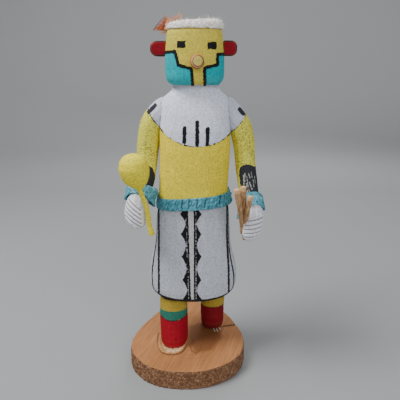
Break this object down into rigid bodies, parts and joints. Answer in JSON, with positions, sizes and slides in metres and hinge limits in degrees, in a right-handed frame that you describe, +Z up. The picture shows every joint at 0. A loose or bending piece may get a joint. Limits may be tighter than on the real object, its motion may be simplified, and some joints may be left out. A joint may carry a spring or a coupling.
{
  "type": "kachina doll",
  "caption": "Carved and painted wooden doll with case mask, kilt, rattle and sticks, standing on a slice of branch.",
  "frame": {"origin": "middle of the underside of the wood slice that the doll stands on", "axes": "+Z up, the doll faces -Y, +X is towards the doll's left hand"},
  "size_m": [0.1432, 0.1414, 0.3657],
  "materials": {
    "branch_wood": "sawn and lightly oiled, bark left on",
    "body_paint": "matt paint on carved root wood",
    "arm_paint": "matt stippled paint on carved root wood",
    "ear_paint": "matt red paint",
    "mouth_paint": "matt paint",
    "fleece": "curly white fleece",
    "feather_vane": "matt feather",
    "leather_strip": "painted turquoise, matt",
    "rattle_paint": "matt paint",
    "twig_bark": "bare twig bark"
  },
  "bodies": {
    "root": {"base": "branch_wood", "body": "body_paint", "right_arm": "arm_paint", "left_arm": "arm_paint", "right_ear": "ear_paint", "left_ear": "ear_paint", "mouth_tube": "mouth_paint", "fur_roll": "fleece", "feather": "feather_vane", "belt_fringe": "leather_strip", "right_cuff": "leather_strip", "left_cuff": "leather_strip", "rattle": "rattle_paint", "twig_1": "twig_bark", "twig_2": "twig_bark", "twig_3": "twig_bark"}
  },
  "joints": []
}
